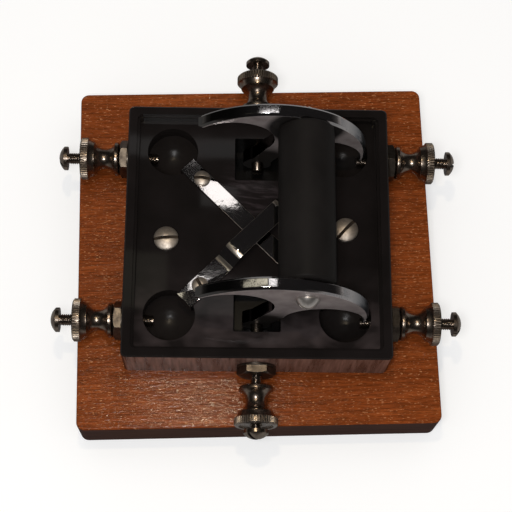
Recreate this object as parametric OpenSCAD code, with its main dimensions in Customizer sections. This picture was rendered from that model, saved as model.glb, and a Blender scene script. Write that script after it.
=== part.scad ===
// Reversing commutator: a rocking switch in a moulded tray on a wooden board.
// Tilting the rocker dips its arch tips in the left or the right pair of cups,
// which the two crossed straps join, so that the current is reversed.
// Millimetres. X is to the right, Y to the back, Z up; Z = 0 is the board's underside.
// X = 0, Y = 0 is the centre of the moulded block.

/* [Board] */
// Width of the board, left to right
board_w = 130; // [124:1:150]
// Depth of the board, front to back
board_d = 130; // [124:1:150]
// Thickness of the board
board_t = 19; // [15:0.5:25]
// Radius of the board's upright corners
board_corner_r = 3; // [1.5:0.5:8]
// Width of the bevel round the board's top edge
board_bevel = 0.8; // [0.3:0.1:1.2]
// Turn of the board against the block, in degrees
board_skew = 1.8; // [-3:0.1:3]
// Offset of the board's centre to the right
board_shift_x = -0.4; // [-3:0.1:3]
// Offset of the board's centre to the back
board_shift_y = -2.2; // [-3:0.1:3]

/* [Block] */
// Width and depth of the square moulded block
block_w = 94.5; // [92:0.5:100]
// Height of the block
block_h = 19.8; // [18.5:0.1:22]
// Radius of the block's upright corners
block_corner_r = 2; // [1:0.5:4]
// Width of the bevel round the rim's outer edge
block_bevel = 0.5; // [0.2:0.1:0.9]
// Width of the raised rim
rim_w = 3.2; // [2:0.1:3.6]
// Width of the ledge inside the rim
ledge_w = 0.9; // [0.4:0.1:1.2]
// Drop from the rim to the ledge
ledge_drop = 1.4; // [0.8:0.1:2.5]
// Depth of the tray below the rim
tray_depth = 4.1; // [3.2:0.1:5]
// Radius of the tray's inner corners
tray_corner_r = 1.2; // [0.6:0.1:3]

/* [Cups] */
// Distance from the block's side faces to the middle of a cup
cup_inset = 16.25; // [15.5:0.25:17]
// Radius of a cup
cup_r = 9.2; // [9:0.1:9.8]
// Depth of a cup's straight wall
cup_wall_depth = 6.7; // [6:0.1:7.5]
// Further depth of a cup's dished bottom
cup_dish_depth = 5.3; // [3:0.1:5.8]

/* [Wells] */
// Depth of the two wells that hold the rocker's feet
well_depth = 13.4; // [13.3:0.1:14.2]
// Gap between a tilted leg and the edge of its well, which stops the rocker
stop_gap = 0.3; // [0.2:0.1:0.8]
// Gap between the rocker and the outer wall of a well
well_end_gap = 2.2; // [1:0.1:4]
// Gap between a pivot stud's end and the inner wall of a well
well_inner_gap = 6.2; // [5:0.1:9]

/* [Rocker] */
// Height of the pivot above the board
pivot_h = 7.9; // [7.6:0.1:8.5]
// Tilt of the rocker at rest, to the right, in degrees
tilt = 26; // [22:0.5:28]
// Thickness of an arch plate
arch_t = 4.6; // [3.5:0.1:5.4]
// Height of the centre of an arch's outer curve above the pivot
arch_rise = 10.4; // [8:0.1:12]
// Gap between the outer curve and the outer wall of a cup
tip_gap = 1.1; // [0.8:0.1:1.8]
// Thickness of an arm at its tip
tip_t = 1.7; // [1.2:0.1:2.6]
// Height of the tips above the pivot, along the arch
tip_h = 19.4; // [19:0.1:21]
// Further height of a tip's inner corner, which slants its end
tip_slant = 2; // [0.5:0.1:2.6]
// Width of an arch's leg
leg_w = 7.6; // [6:0.1:8.4]
// Height of the centres of the round cut-outs above the pivot
cutout_h = 16.6; // [14:0.1:18]
// Radius of an arch's foot round its pivot
foot_r = 5.2; // [4.2:0.1:5.3]
// Width of the bevel along the edges of an arch
arch_bevel = 0.8; // [0.3:0.1:0.8]
// Shift of the rocker to the back, taken up by its end play
rocker_shift = 1.2; // [0:0.1:1.6]
// Radius of the handle bar
bar_r = 9.8; // [7:0.1:11]
// Distance of the bar's axis from the top of the arches
bar_inset = 7.9; // [6:0.1:10]
// Bevel at the ends of the bar
bar_bevel = 0.8; // [0.5:0.1:3]

/* [Straps] */
// Width of the lower strap
lower_strap_w = 6.5; // [5:0.1:7.5]
// Width of the upper strap
upper_strap_w = 7.1; // [5:0.1:7.5]
// Thickness of a strap
strap_t = 0.9; // [0.6:0.1:1.4]
// Length of the tongue that dips in a cup
tongue_len = 5; // [3:0.1:6]
// Gap between a tongue and the wall of its cup
tongue_gap = 0.35; // [0.2:0.05:0.8]
// Rise of the upper strap where it crosses the lower one
bridge_rise = 3.8; // [2.5:0.1:4.5]
// Half the length of the raised flat
bridge_half = 11.8; // [8:0.1:14]
// Length of each slope of the bridge, seen from above
slope_len = 4.9; // [3:0.1:7]
// Distance from a strap's end to its screw
strap_screw_inset = 7.9; // [6.5:0.1:9]

/* [Terminals] */
// Radius of the terminal studs
stud_r = 2.1; // [1.8:0.05:2.4]
// Length of a stud's end that shows in a cup
stud_in_cup = 3.4; // [2.2:0.1:5]
// Length of a pivot stud past the inner face of the nearer arch
stud_past_arch = 1.1; // [0.6:0.1:2.5]
// Radius of the washers against the block
washer_r = 7; // [6:0.1:7.4]
// Thickness of the washers
washer_t = 0.8; // [0.5:0.1:1.5]
// Width of the hexagon nuts across their flats
hex_af = 12.1; // [10:0.1:12.6]
// Distance of the chamfer's inner edge from the flats of the hexagon nuts
hex_chamfer = 0.25; // [0.1:0.05:0.6]
// Thickness of the hexagon nuts
hex_t = 2.8; // [2:0.1:4]
// Length of a thumb nut
nut_len = 14.1; // [12.5:0.1:15.5]
// Radius of a thumb nut's inner collar
collar_r = 6.15; // [5.2:0.05:6.8]
// Thickness of that collar
collar_t = 1.2; // [0.8:0.1:2]
// Length of the flare under a thumb nut's flange
flare_len = 1.6; // [0.8:0.1:2.4]
// Radius of a thumb nut's neck
neck_r = 3.5; // [2.9:0.05:4]
// Gap between a thumb nut's knurled flange and the board
flange_gap = 0.2; // [0.15:0.05:0.6]
// Thickness of the flange
flange_t = 3.2; // [2.4:0.1:4]
// Depth of the recess in the flange's outer face
flange_recess = 0.6; // [0.3:0.1:1]
// Number of teeth of the knurl
knurl_teeth = 48; // [36:2:60]
// Depth of the knurl
knurl_depth = 0.3; // [0.2:0.05:0.4]
// How far a thumb nut can be backed out
nut_travel = 4.8; // [3.8:0.1:6]
// How far the front thumb nut stands backed out
front_nut_out = 3.5; // [0:0.1:3.7]
// Radius of a stud's slotted head
stud_head_r = 4.4; // [3.6:0.1:5.2]
// Length of a stud's slotted head
stud_head_len = 3.2; // [2.4:0.1:4]

/* [Screws] */
// Radius of the hold-down screws' heads
hold_head_r = 4.4; // [3.5:0.1:5]
// Height of the hold-down screws' heads
hold_head_h = 2.1; // [1.5:0.1:3]
// Radius of the hold-down screws' shanks
hold_shank_r = 2.2; // [1.5:0.1:2.6]
// Length of a hold-down screw's shank in the board
hold_grip = 11; // [6:0.5:13]
// Distance of the left hold-down screw from the block's left side
hold_left_inset = 14.6; // [13.5:0.1:16]
// Distance of the right hold-down screw from the block's right side
hold_right_inset = 15.5; // [13.5:0.1:16]
// Place of the left hold-down screw along Y
hold_left_y = -2.7; // [-6:0.1:6]
// Place of the right hold-down screw along Y
hold_right_y = 1.4; // [-6:0.1:6]
// Radius of the strap screws' heads
strap_head_r = 2.95; // [2.4:0.05:3.1]
// Height of the strap screws' heads
strap_head_h = 1.5; // [1:0.1:2]
// Radius of the strap screws' shanks
strap_shank_r = 1.4; // [1:0.1:1.7]
// Length of a strap screw's shank in the block
strap_grip = 6; // [4:0.5:9]
// Radius of the rocker screws' domed heads
rocker_head_r = 4; // [3.2:0.1:5]
// Height of the rocker screws' domed heads
rocker_head_h = 2.4; // [1.6:0.1:3]
// Radius of the rocker screws' shanks
rocker_shank_r = 2; // [1.5:0.1:2.6]
// Length of a rocker screw's shank in the bar
rocker_grip = 12; // [8:0.5:18]
// Width of the screwdriver slots
slot_w = 1.1; // [0.7:0.1:1.4]

/* [Hidden] */
$fn = 72;
// Clearance on the radius of each shaft in its hole
running = 0.05;
// Clearance between flat faces of pieces that move past each other
side_gap = 0.3;
// Length added to a cut so that it passes through a face
over = 1;
// Length by which a shank reaches up into its head, so that both are one piece
root = 0.3;
// Radius added to a hole that only clears its screw
easy = 0.15;

// Facets of the block's small corners, of its cups and of its bores
corner_facets = 16;
cup_facets = 48;
bore_facets = 32;
// Steps of a cup's dished bottom, from its rim to its middle
dish_steps = 4;

// Levels of the block
block_z = board_t;
rim_z = block_z + block_h;
floor_z = rim_z - tray_depth;
pivot_z = block_z + pivot_h;

// The rocker's plates stand over the cups
cup_offset = block_w / 2 - cup_inset;
arch_gap = 2 * cup_offset - arch_t;
front_inner_y = -arch_gap / 2 + rocker_shift;
back_inner_y = arch_gap / 2 + rocker_shift;
arch_r = cup_offset + cup_r - arch_rise * sin(tilt) - tip_gap;
bar_h = arch_rise + arch_r - bar_inset;
cutout_dh = cutout_h - arch_rise;
cutout_r = (pow(arch_r - tip_t, 2) - pow(leg_w / 2, 2) - pow(cutout_dh, 2))
    / (2 * (arch_r - tip_t + leg_w / 2));
cutout_x = leg_w / 2 + cutout_r;
tip_outer_x = sqrt(pow(arch_r, 2) - pow(tip_h - arch_rise, 2));
tip_inner_x = cutout_x + sqrt(pow(cutout_r, 2) - pow(tip_h + tip_slant - cutout_h, 2));
tip_slope = tip_slant / (tip_outer_x - tip_inner_x);

// The wells take the feet, and their edges stop the legs
stop_h = floor_z - pivot_z;
well_half_w = leg_w / 2 / cos(tilt) + stop_h * tan(tilt) + stop_gap;
well_outer = arch_gap / 2 + arch_t + rocker_shift + well_end_gap;
cup_stud_end = cup_offset + cup_r - stud_in_cup;
pivot_stud_end = arch_gap / 2 - rocker_shift - stud_past_arch;
well_inner = pivot_stud_end - well_inner_gap;
well_corner_r = 0.6;

// The straps lie on the block's diagonals
strap_angle = 45;
cup_diagonal = cup_offset * sqrt(2);
function tongue_inner(w) = cup_diagonal - sqrt(pow(cup_r, 2) - pow(w / 2, 2)) + tongue_gap;
function strap_end(w) = tongue_inner(w) + strap_t;
strap_screw_d = strap_end(lower_strap_w) - strap_screw_inset;

// The pieces of a terminal, from the face of the block outward
hex_start = washer_t;
nut_start = hex_start + hex_t + side_gap;
stud_head_start = nut_start + nut_len + nut_travel;
flange_r = pivot_h - flange_gap;
neck_groove_r = (nut_len - flange_t - collar_t - flare_len) / 2;
flange_bevel = 0.35;
knurl_seat = 0.06;
collar_bevel = 0.5;
lip_w = 1.3;

// Terminals: the direction of the side that each one stands on, and its place along that side
right_angle = 0;
back_angle = 90;
left_angle = 180;
front_angle = 270;
right_back_at = [right_angle, cup_offset];
right_front_at = [right_angle, -cup_offset];
left_back_at = [left_angle, -cup_offset];
left_front_at = [left_angle, cup_offset];
back_at = [back_angle, 0];
front_at = [front_angle, 0];
terminals = [right_back_at, right_front_at, left_back_at, left_front_at, back_at, front_at];

// How far the hexagon nuts and the slots of the heads are turned, as they happen to stand
hex_turns = [8, 22, 14, 24, 30, 30];
stud_slot_turns = [35, 62, 118, 50, 75, 40];
hold_slot_turns = [5, 47];
strap_slot_turns = [-15, 40, 74, 110];
rocker_slot_turns = [15, 70];

wood = [0.45, 0.21, 0.10];
ebonite = [0.07, 0.07, 0.075];
nickel = [0.62, 0.60, 0.56];
chrome = [0.78, 0.79, 0.81];

// Outline of a rectangle with round corners
module rounded_outline(w, d, r) {
    square([w - 2 * r, d], center = true);
    square([w, d - 2 * r], center = true);
    for (sx = [-1, 1], sy = [-1, 1])
        translate([sx * (w / 2 - r), sy * (d / 2 - r)]) circle(r, $fn = corner_facets);
}

// Bar along X with both upper edges bevelled
module bevelled_bar(w, d, h, bevel) {
    rotate([90, 0, 90])
        linear_extrude(w, center = true)
            polygon([[-d / 2, 0], [d / 2, 0], [d / 2, h - bevel], [d / 2 - bevel, h],
                [bevel - d / 2, h], [-d / 2, h - bevel]]);
}

// Slab with round upright corners and a bevel round its top edge
module eased_slab(w, d, h, r, bevel) {
    bevelled_bar(w - 2 * r, d, h, bevel);
    rotate([0, 0, 90]) bevelled_bar(d - 2 * r, w, h, bevel);
    for (sx = [-1, 1], sy = [-1, 1])
        translate([sx * (w / 2 - r), sy * (d / 2 - r), 0]) {
            cylinder(h = h - bevel, r = r, $fn = corner_facets);
            translate([0, 0, h - bevel])
                cylinder(h = bevel, r1 = r, r2 = r - bevel, $fn = corner_facets);
        }
}

// Round head on the XY plane with a crowned top and a slot
module slotted_head(r, h, crown, slot_depth, slot_turn) {
    crown_r = (r * r + crown * crown) / (2 * crown);
    difference() {
        intersection() {
            cylinder(h = h, r = r);
            translate([0, 0, h - crown_r]) sphere(crown_r);
        }
        rotate([0, 0, slot_turn])
            translate([-r - over, -slot_w / 2, h - slot_depth])
                cube([2 * (r + over), slot_w, slot_depth + over]);
    }
}

// Shank of a screw, from the XY plane down, with its top end in the screw's head
module shank(r, length) {
    translate([0, 0, -length]) cylinder(h = length + root, r = r);
}

// Moves a piece that stands on the XY plane to a terminal, with its axis pointing outward
module at_terminal(place) {
    translate([0, 0, pivot_z])
        rotate([0, 0, place[0]])
            translate([block_w / 2, place[1], 0])
                rotate([0, 90, 0]) children();
}

// Places of the two hold-down screws
module at_hold_down() {
    translate([hold_left_inset - block_w / 2, hold_left_y, floor_z])
        rotate([0, 0, hold_slot_turns[0]]) children();
    translate([block_w / 2 - hold_right_inset, hold_right_y, floor_z])
        rotate([0, 0, hold_slot_turns[1]]) children();
}

// Places of the four strap screws, on the tray's floor
module at_strap_screws() {
    for (i = [0 : 3])
        rotate([0, 0, strap_angle + i * 90]) translate([strap_screw_d, 0, floor_z])
            rotate([0, 0, strap_slot_turns[i]]) children();
}

module base_board() {
    color(wood)
        difference() {
            translate([board_shift_x, board_shift_y, 0]) rotate([0, 0, board_skew])
                eased_slab(board_w, board_d, board_t, board_corner_r, board_bevel);
            at_hold_down() translate([0, 0, -(floor_z - board_t) - hold_grip - side_gap])
                cylinder(h = floor_z, r = hold_shank_r + running);
        }
}

// A cup is bored straight and has a dished bottom; this is the space in it
module cup_space() {
    dish_r = (pow(cup_r, 2) + pow(cup_dish_depth, 2)) / (2 * cup_dish_depth);
    dish_angle = asin(cup_r / dish_r);
    dish_top = dish_r - cup_wall_depth - cup_dish_depth;
    dish = [for (i = [dish_steps : -1 : 0]) let (a = dish_angle * i / dish_steps)
        [dish_r * sin(a), dish_top - dish_r * cos(a)]];
    rotate_extrude($fn = cup_facets) polygon(concat([[0, over], [cup_r, over]], dish));
}

// Bore through the block for a stud or a screw
module block_bore(length, r) {
    cylinder(h = length, r = r, $fn = bore_facets);
}

module moulded_block() {
    tray_w = block_w - 2 * rim_w;
    floor_w = tray_w - 2 * ledge_w;
    well_len = well_outer - well_inner;
    color(ebonite)
        difference() {
            translate([0, 0, block_z])
                eased_slab(block_w, block_w, block_h, block_corner_r, block_bevel);
            translate([0, 0, rim_z - ledge_drop]) linear_extrude(ledge_drop + over)
                rounded_outline(tray_w, tray_w, tray_corner_r + ledge_w);
            translate([0, 0, floor_z]) linear_extrude(tray_depth + over)
                rounded_outline(floor_w, floor_w, tray_corner_r);
            for (sx = [-1, 1], sy = [-1, 1])
                translate([sx * cup_offset, sy * cup_offset, floor_z]) cup_space();
            for (sy = [-1, 1])
                translate([0, sy * (well_inner + well_outer) / 2, floor_z - well_depth])
                    linear_extrude(well_depth + over)
                        rounded_outline(2 * well_half_w, well_len, well_corner_r);
            for (place = terminals)
                at_terminal(place) translate([0, 0, -block_w / 2 + terminal_hole_end(place)])
                    block_bore(block_w / 2 - terminal_hole_end(place) + over, stud_r + running);
            at_hold_down() translate([0, 0, -block_h]) block_bore(block_h + over, hold_shank_r + easy);
            at_strap_screws() translate([0, 0, -strap_grip - side_gap])
                block_bore(strap_grip + side_gap + over, strap_shank_r + running);
        }
}

// Distance from the middle of the block to the end of a terminal's hole, inside a cup or a well
function terminal_hole_end(place) = place[1] == 0 ? well_inner + over : cup_offset;

module hold_down_screws() {
    shank_len = floor_z - board_t + hold_grip;
    color(nickel)
        at_hold_down() {
            slotted_head(hold_head_r, hold_head_h, hold_head_h * 0.55, hold_head_h * 0.5, 0);
            intersection() {
                shank(hold_shank_r, shank_len);
                translate([0, 0, -shank_len])
                    cylinder(h = shank_len + root, r1 = hold_shank_r / 4, r2 = hold_shank_r / 4 + shank_len);
            }
        }
}

// Hole of a strap screw, cut through a strap that lies on its diagonal
module strap_holes() {
    for (side = [-1, 1])
        translate([side * strap_screw_d, 0, floor_z - over])
            cylinder(h = strap_t + 2 * over, r = strap_shank_r + easy);
}

// Strap of width w bent to a side view, drawn along X and set on the tray's floor
module strap(w, side_view, turn) {
    color(chrome)
        rotate([0, 0, turn])
            difference() {
                translate([0, w / 2, floor_z]) rotate([90, 0, 0])
                    linear_extrude(w) polygon(side_view);
                strap_holes();
            }
}

// Ends of a strap in side view: the tongue that is bent down into the cup
function end_under(w) = [[tongue_inner(w), -tongue_len], [tongue_inner(w), 0]];
function end_top(w) = [[strap_end(w), -tongue_len], [strap_end(w), strap_t]];
// Half of the bridge in side view, with its height over the tray
function bridge(lift) = [[bridge_half + slope_len, lift], [bridge_half, bridge_rise + lift]];
function mirrored(points) = [for (i = [len(points) - 1 : -1 : 0]) [-points[i][0], points[i][1]]];
function backward(points) = [for (i = [len(points) - 1 : -1 : 0]) points[i]];
// Whole side view from the right halves of the top edge and of the underside
function side_view(top, under) = concat(top, mirrored(top), backward(mirrored(under)), backward(under));

module lower_strap() {
    strap(lower_strap_w, side_view(end_top(lower_strap_w), end_under(lower_strap_w)), -strap_angle);
}

module upper_strap() {
    strap(upper_strap_w, side_view(concat(end_top(upper_strap_w), bridge(strap_t)),
        concat(end_under(upper_strap_w), bridge(0))), strap_angle);
}

module strap_screws() {
    color(nickel)
        at_strap_screws() translate([0, 0, strap_t]) {
            slotted_head(strap_head_r, strap_head_h, strap_head_h * 0.6, strap_head_h * 0.55, 0);
            shank(strap_shank_r, strap_grip + strap_t);
        }
}

// Stud of a terminal: a long screw whose slotted head keeps the thumb nut on
module stud(place, inner_end, slot_turn) {
    color(nickel)
        at_terminal(place) translate([0, 0, stud_head_start]) {
            slotted_head(stud_head_r, stud_head_len, stud_head_len * 0.6, stud_head_len * 0.5, slot_turn);
            shank(stud_r, block_w / 2 - inner_end + stud_head_start);
        }
}

module front_pivot_stud() stud(front_at, pivot_stud_end, stud_slot_turns[5]);
module back_pivot_stud() stud(back_at, pivot_stud_end, stud_slot_turns[4]);
module left_front_stud() stud(left_front_at, cup_stud_end, stud_slot_turns[3]);
module left_back_stud() stud(left_back_at, cup_stud_end, stud_slot_turns[2]);
module right_front_stud() stud(right_front_at, cup_stud_end, stud_slot_turns[1]);
module right_back_stud() stud(right_back_at, cup_stud_end, stud_slot_turns[0]);

module terminal_washers() {
    color(nickel)
        for (place = terminals)
            at_terminal(place) difference() {
                cylinder(h = washer_t, r = washer_r);
                translate([0, 0, -over]) cylinder(h = washer_t + 2 * over, r = stud_r + easy);
            }
}

module hexagon_nuts() {
    chamfer_top_r = hex_af / 2 - hex_chamfer;
    color(nickel)
        for (i = [0 : len(terminals) - 1])
            at_terminal(terminals[i]) translate([0, 0, hex_start]) difference() {
                intersection() {
                    rotate([0, 0, hex_turns[i]]) cylinder(h = hex_t, r = hex_af / 2 / cos(30), $fn = 6);
                    cylinder(h = hex_t, r1 = chamfer_top_r + hex_t / tan(30), r2 = chamfer_top_r);
                }
                translate([0, 0, -over]) cylinder(h = hex_t + 2 * over, r = stud_r + running);
            }
}

// Half section of a thumb nut's turned body: radius along X, length along Y
module nut_section() {
    flange_start = nut_len - flange_t;
    rim_r = flange_r - knurl_depth - knurl_seat;
    difference() {
        polygon([[0, 0], [collar_r - collar_bevel, 0], [collar_r, collar_bevel],
            [collar_r, flange_start - flare_len], [rim_r - flange_bevel, flange_start],
            [rim_r, flange_start + flange_bevel], [rim_r, nut_len - flange_bevel],
            [rim_r - flange_bevel, nut_len], [0, nut_len]]);
        translate([neck_r + neck_groove_r, collar_t + neck_groove_r]) circle(neck_groove_r);
    }
}

// Outline of the knurl
function knurl_points() = [for (i = [0 : 2 * knurl_teeth - 1])
    let (r = i % 2 == 0 ? flange_r : flange_r - knurl_depth, a = i * 180 / knurl_teeth)
    [r * cos(a), r * sin(a)]];

module thumb_nut(place, out) {
    color(nickel)
        at_terminal(place) translate([0, 0, nut_start + out]) difference() {
            union() {
                rotate_extrude() nut_section();
                translate([0, 0, nut_len - flange_t + flange_bevel])
                    linear_extrude(flange_t - 2 * flange_bevel) polygon(knurl_points());
            }
            translate([0, 0, -over]) cylinder(h = nut_len + 2 * over, r = stud_r + running);
            translate([0, 0, nut_len - flange_recess])
                cylinder(h = flange_recess + over, r = flange_r - knurl_depth - lip_w);
        }
}

module front_thumb_nut() thumb_nut(front_at, front_nut_out);
module back_thumb_nut() thumb_nut(back_at, 0);
module left_front_thumb_nut() thumb_nut(left_front_at, 0);
module left_back_thumb_nut() thumb_nut(left_back_at, 0);
module right_front_thumb_nut() thumb_nut(right_front_at, 0);
module right_back_thumb_nut() thumb_nut(right_back_at, 0);

// Puts what is drawn round the pivot, upright and along -Y, in the rocker's tilted place
module on_rocker(y) {
    translate([0, y, pivot_z]) rotate([0, tilt, 0]) rotate([90, 0, 0]) children();
}

// Side view of an arch: two curved arms on a leg, with the pivot at the origin
module arch_outline() {
    difference() {
        intersection() {
            translate([0, arch_rise]) circle(arch_r);
            translate([-arch_r, tip_h]) square([2 * arch_r, arch_r + arch_rise]);
        }
        for (side = [-1, 1]) {
            translate([side * cutout_x, cutout_h]) circle(cutout_r);
            polygon([[side * cutout_x, tip_h - over], [side * cutout_x, tip_h + tip_slant],
                [side * tip_inner_x, tip_h + tip_slant],
                [side * (tip_outer_x + over), tip_h - over * tip_slope],
                [side * (tip_outer_x + over), tip_h - over * (1 + tip_slope)],
                [side * tip_inner_x, tip_h - over * (1 + tip_slope)]]);
        }
    }
    translate([-leg_w / 2, 0]) square([leg_w, tip_h]);
    circle(foot_r);
}

// Disc with bevelled edges that trims the arch's outer curve
module arch_trim() {
    translate([0, arch_rise, 0]) {
        cylinder(h = arch_bevel, r1 = arch_r - arch_bevel, r2 = arch_r);
        translate([0, 0, arch_bevel]) cylinder(h = arch_t - 2 * arch_bevel, r = arch_r);
        translate([0, 0, arch_t - arch_bevel])
            cylinder(h = arch_bevel, r1 = arch_r, r2 = arch_r - arch_bevel);
    }
}

// One arch plate, its outer face on the XY plane's far side, arch_t thick
module arch_plate() {
    small_bevel = arch_bevel / 2;
    difference() {
        intersection() {
            linear_extrude(arch_t) arch_outline();
            arch_trim();
        }
        for (side = [-1, 1]) translate([side * cutout_x, cutout_h, 0]) {
            translate([0, 0, -over]) cylinder(h = over + small_bevel,
                r1 = cutout_r + small_bevel + over, r2 = cutout_r);
            translate([0, 0, arch_t - small_bevel]) cylinder(h = over + small_bevel,
                r1 = cutout_r, r2 = cutout_r + small_bevel + over);
        }
        translate([0, 0, -over]) cylinder(h = arch_t + 2 * over, r = stud_r + running);
        translate([0, bar_h, -over]) cylinder(h = arch_t + 2 * over, r = rocker_shank_r + easy);
    }
}

module front_arch() color(chrome) on_rocker(front_inner_y) arch_plate();
module back_arch() color(chrome) on_rocker(back_inner_y + arch_t) arch_plate();

module handle_bar() {
    color(ebonite)
        on_rocker(back_inner_y) translate([0, bar_h, 0]) difference() {
            union() {
                cylinder(h = bar_bevel, r1 = bar_r - bar_bevel, r2 = bar_r);
                translate([0, 0, bar_bevel]) cylinder(h = arch_gap - 2 * bar_bevel, r = bar_r);
                translate([0, 0, arch_gap - bar_bevel])
                    cylinder(h = bar_bevel, r1 = bar_r, r2 = bar_r - bar_bevel);
            }
            translate([0, 0, -over])
                cylinder(h = rocker_grip + side_gap + over, r = rocker_shank_r + running);
            translate([0, 0, arch_gap - rocker_grip - side_gap])
                cylinder(h = rocker_grip + side_gap + over, r = rocker_shank_r + running);
        }
}

// Screw through an arch into the bar, its head on the XY plane
module rocker_screw(slot_turn) {
    slotted_head(rocker_head_r, rocker_head_h, rocker_head_h * 0.8, rocker_head_h * 0.4, slot_turn);
    shank(rocker_shank_r, arch_t + rocker_grip);
}

module rocker_screws() {
    color(chrome) {
        on_rocker(front_inner_y - arch_t) translate([0, bar_h, 0]) rocker_screw(rocker_slot_turns[0]);
        on_rocker(back_inner_y + arch_t) translate([0, bar_h, 0]) rotate([180, 0, 0])
            rocker_screw(rocker_slot_turns[1]);
    }
}

base_board();
moulded_block();
hold_down_screws();
lower_strap();
upper_strap();
strap_screws();
front_pivot_stud();
back_pivot_stud();
left_front_stud();
left_back_stud();
right_front_stud();
right_back_stud();
terminal_washers();
hexagon_nuts();
front_thumb_nut();
back_thumb_nut();
left_front_thumb_nut();
left_back_thumb_nut();
right_front_thumb_nut();
right_back_thumb_nut();
front_arch();
back_arch();
handle_bar();
rocker_screws();
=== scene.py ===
# %% [markdown]
# A reversing commutator
# This switch from an electrical laboratory turns a current round. A rocker of two
# polished arches tips to the left or the right and dips its points in cups of
# contact liquid, which two crossed straps join. The frame below holds the exact
# solids of every piece. The cells after it dress them: first camera and light,
# then one finish after the other, then the pieces that are modelled again here
# because they need softer edges, threads or knurls.

# %% Load the frame
import math

import bmesh
import bpy
from mathutils import Matrix, Vector


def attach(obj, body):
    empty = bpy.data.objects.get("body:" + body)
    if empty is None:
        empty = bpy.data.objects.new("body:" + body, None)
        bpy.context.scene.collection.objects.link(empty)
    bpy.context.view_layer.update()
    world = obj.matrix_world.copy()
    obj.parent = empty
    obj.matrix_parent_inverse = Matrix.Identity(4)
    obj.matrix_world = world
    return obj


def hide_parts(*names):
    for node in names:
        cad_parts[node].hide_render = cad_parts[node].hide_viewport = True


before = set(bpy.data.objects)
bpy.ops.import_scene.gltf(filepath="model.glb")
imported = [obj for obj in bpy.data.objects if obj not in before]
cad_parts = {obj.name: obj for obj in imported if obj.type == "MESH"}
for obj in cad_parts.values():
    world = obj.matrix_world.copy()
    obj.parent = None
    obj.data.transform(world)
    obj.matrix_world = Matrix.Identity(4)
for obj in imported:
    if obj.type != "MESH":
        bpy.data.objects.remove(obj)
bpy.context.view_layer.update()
MM = 0.001

# %% [markdown]
# Measures
# Several cells need these places of the solids, for finishes as well as for pieces.
# They are in millimetres above the ground or from the middle of the block. At rest
# the rocker is tilted to the right.

# %% Shared measures in millimetres
PIVOT_HEIGHT = 26.9
TRAY_FLOOR = 34.7
BLOCK_HALF = 47.25
CUP_OFFSET = 31.0
BAR_HEIGHT = 37.04
BAR_MIDDLE_Y = 1.2
TILT_DEGREES = 26
REST_TILT = math.radians(TILT_DEGREES)
PIVOT = (0, 0, PIVOT_HEIGHT)
BAR_MIDDLE = (BAR_HEIGHT * math.sin(REST_TILT), BAR_MIDDLE_Y,
              PIVOT_HEIGHT + BAR_HEIGHT * math.cos(REST_TILT))
print("handle bar at", [round(v, 2) for v in BAR_MIDDLE], "mm")

# %% [markdown]
# Camera
# The photograph was taken from high above the front edge, with the camera a
# little turned. The place was found from the edges of the board, the block and
# the cups, so it is given as the camera's direction, its distance and its roll.
# A camera looks along its own -Z axis, so its matrix has the viewing direction
# backwards as its third column.

# %% The camera
BOARD_TOP = 19 * MM
PHOTO_SIDE_PX = 512
CAMERA_AZIMUTH = math.radians(-4.046)
CAMERA_ELEVATION = math.radians(71.529)
CAMERA_ROLL = math.radians(4.58)
CAMERA_DISTANCE = 496.948 * MM
CAMERA_AIM = Vector((-0.108 * MM, -3.498 * MM, BOARD_TOP))
FOCAL_PX = 1346.594
SENSOR_MM = 36

backward = Vector((
    math.sin(CAMERA_AZIMUTH) * math.cos(CAMERA_ELEVATION),
    -math.cos(CAMERA_AZIMUTH) * math.cos(CAMERA_ELEVATION),
    math.sin(CAMERA_ELEVATION)))
level_right = (-backward).cross(Vector((0, 0, 1))).normalized()
level_up = level_right.cross(-backward)
right = level_right * math.cos(CAMERA_ROLL) + level_up * math.sin(CAMERA_ROLL)
up = level_up * math.cos(CAMERA_ROLL) - level_right * math.sin(CAMERA_ROLL)
camera_place = CAMERA_AIM + backward * CAMERA_DISTANCE

camera_data = bpy.data.cameras.new("photo_camera")
camera_data.sensor_width = SENSOR_MM
camera_data.lens = FOCAL_PX / PHOTO_SIDE_PX * SENSOR_MM
camera_data.clip_start = 0.01
camera = bpy.data.objects.new("photo_camera", camera_data)
camera.matrix_world = (Matrix.Translation(camera_place)
                       @ Matrix((right, up, backward)).transposed().to_4x4())
bpy.context.scene.collection.objects.link(camera)
bpy.context.scene.camera = camera
bpy.context.scene.view_settings.view_transform = "Standard"
print("camera stands at", [round(v / MM) for v in camera_place], "mm")

# %% [markdown]
# Light
# Polished metal shows what stands round it, so the room matters as much as the
# lamps. The camera sees white paper everywhere. In the metal that white stays low
# at the horizon and the ceiling is nearly black, as in a studio. The main lamp
# hangs beside the camera, so shadows hide behind what throws them. A small warm
# lamp further back makes the varnish of the board glitter. Four dim panels at
# the ceiling hardly light anything: the straps and the crowns of the arches
# mirror them. Their places are given at a height of one metre, where the rays
# end that such surfaces send up from the camera.

# %% World
world = bpy.data.worlds.new("studio")
bpy.context.scene.world = world
world.use_nodes = True
wn, wl = world.node_tree.nodes, world.node_tree.links
wn.clear()
world_out = wn.new("ShaderNodeOutputWorld")
paper_white = wn.new("ShaderNodeBackground")
paper_white.inputs["Color"].default_value = (1, 1, 1, 1)
room = wn.new("ShaderNodeBackground")
ambient = wn.new("ShaderNodeBackground")
ambient.inputs["Color"].default_value = (1, 1, 1, 1)
ambient.inputs["Strength"].default_value = 0.55
direction = wn.new("ShaderNodeTexCoord")
split = wn.new("ShaderNodeSeparateXYZ")
ceiling = wn.new("ShaderNodeValToRGB")
ceiling.color_ramp.elements[0].position = 0.0
ceiling.color_ramp.elements[0].color = (0.28, 0.265, 0.255, 1)
ceiling.color_ramp.elements[1].position = 0.2
ceiling.color_ramp.elements[1].color = (0.012, 0.011, 0.011, 1)
shoulder = ceiling.color_ramp.elements.new(0.08)
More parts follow.
